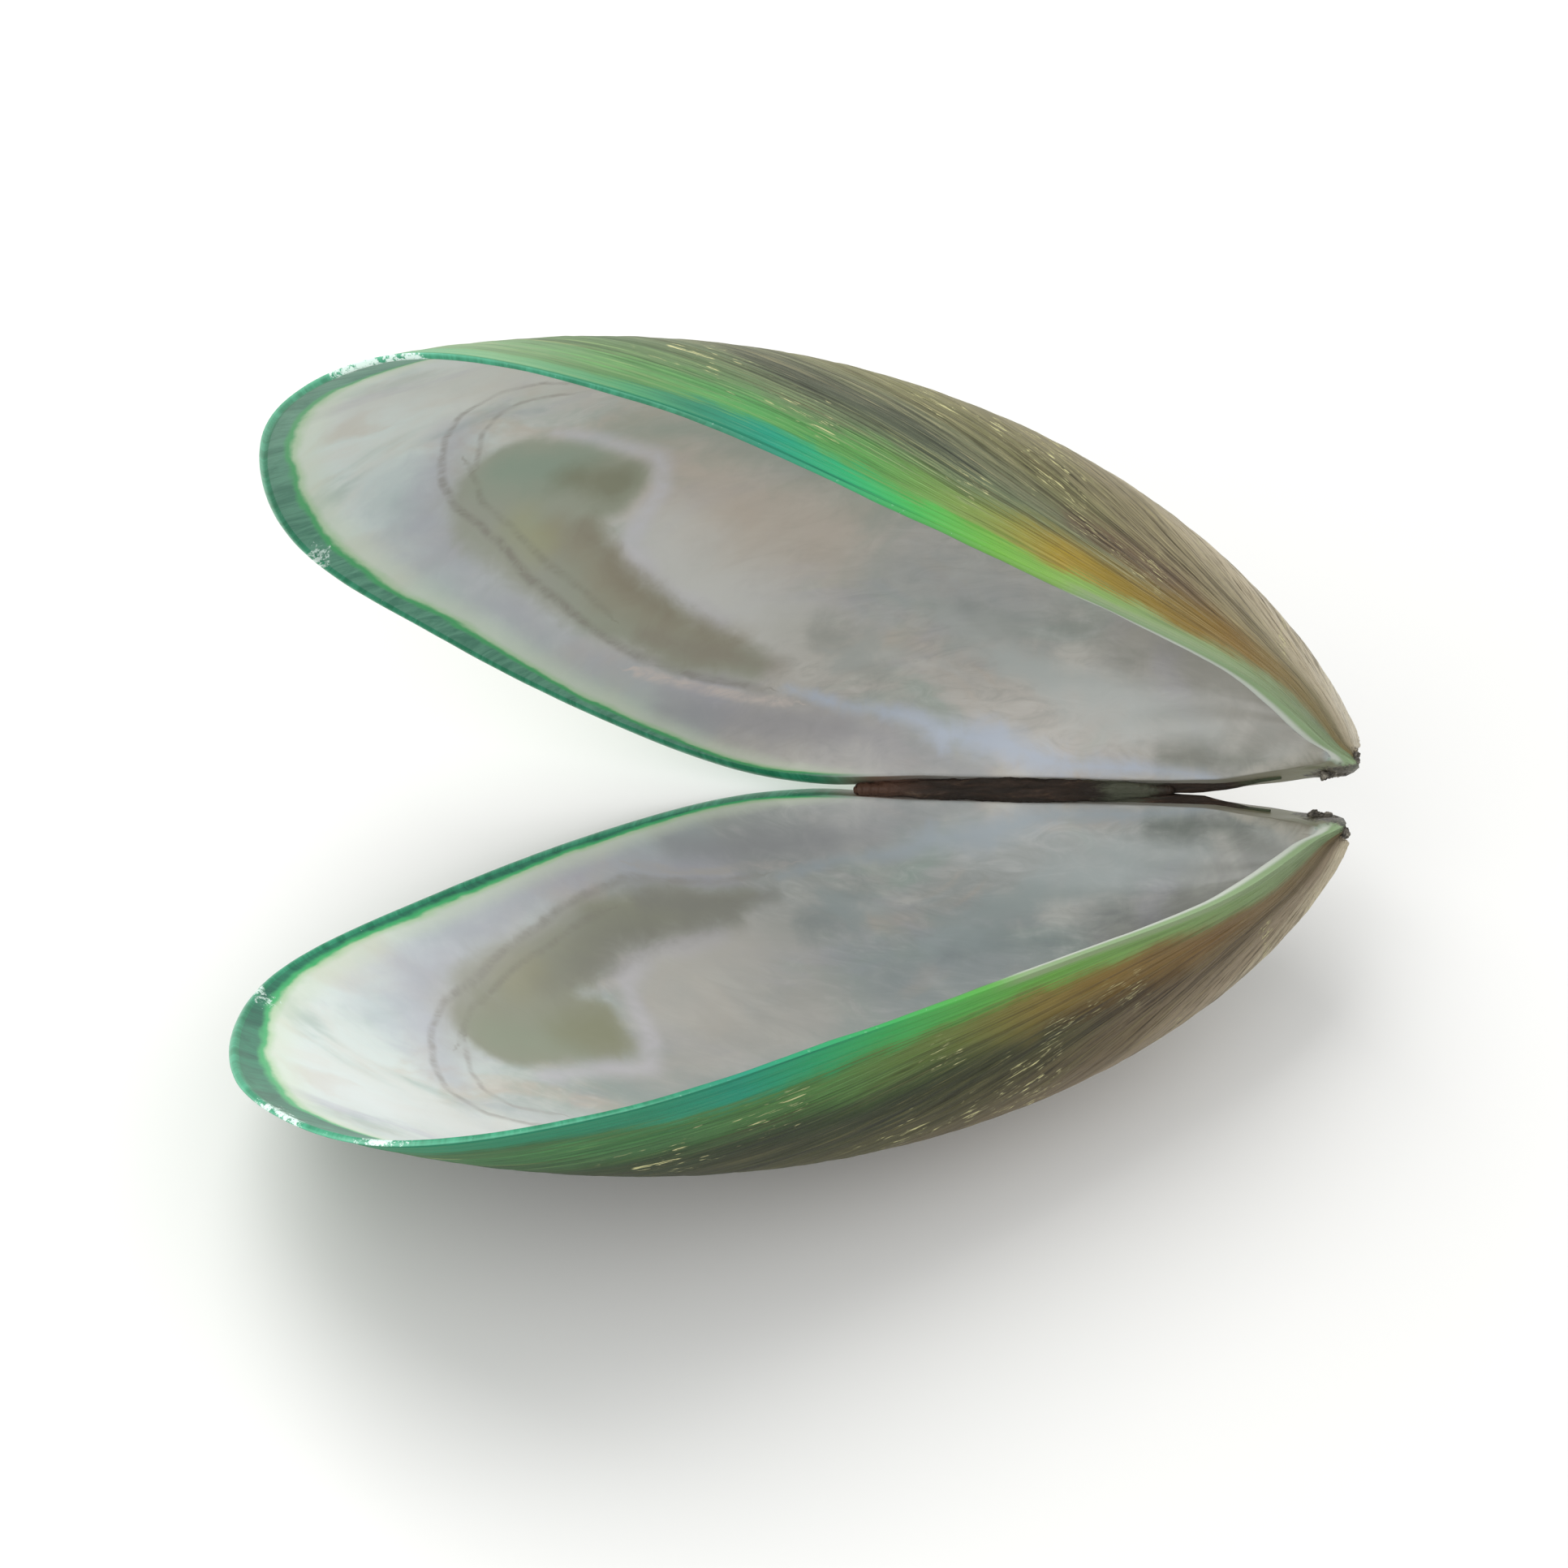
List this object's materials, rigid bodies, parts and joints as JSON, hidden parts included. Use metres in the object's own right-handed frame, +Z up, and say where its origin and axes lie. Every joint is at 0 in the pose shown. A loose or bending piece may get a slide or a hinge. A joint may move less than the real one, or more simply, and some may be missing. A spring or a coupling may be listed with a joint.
{
  "type": "mussel shell",
  "caption": "Empty green-lipped mussel shell, its two valves gaping on a dark brown ligament, lying on the left valve with the right valve standing open.",
  "frame": {"origin": "centre of the shell's box on the surface that it lies on", "axes": "+Z up; +X along the shell's longest extent, from the rear ends of the valves towards the beaks; the gape faces -X and -Y"},
  "size_m": [0.1114, 0.0602, 0.0645],
  "materials": {
    "shell": "calcium carbonate shell: satin grey nacre inside, olive-green to brown periostracum with growth lines outside, bright green edge",
    "ligament": "dried dark brown organic ligament, matt with fine lengthwise cracks"
  },
  "bodies": {
    "root": {"right_valve": "shell", "left_valve": "shell", "ligament": "ligament"}
  },
  "joints": []
}
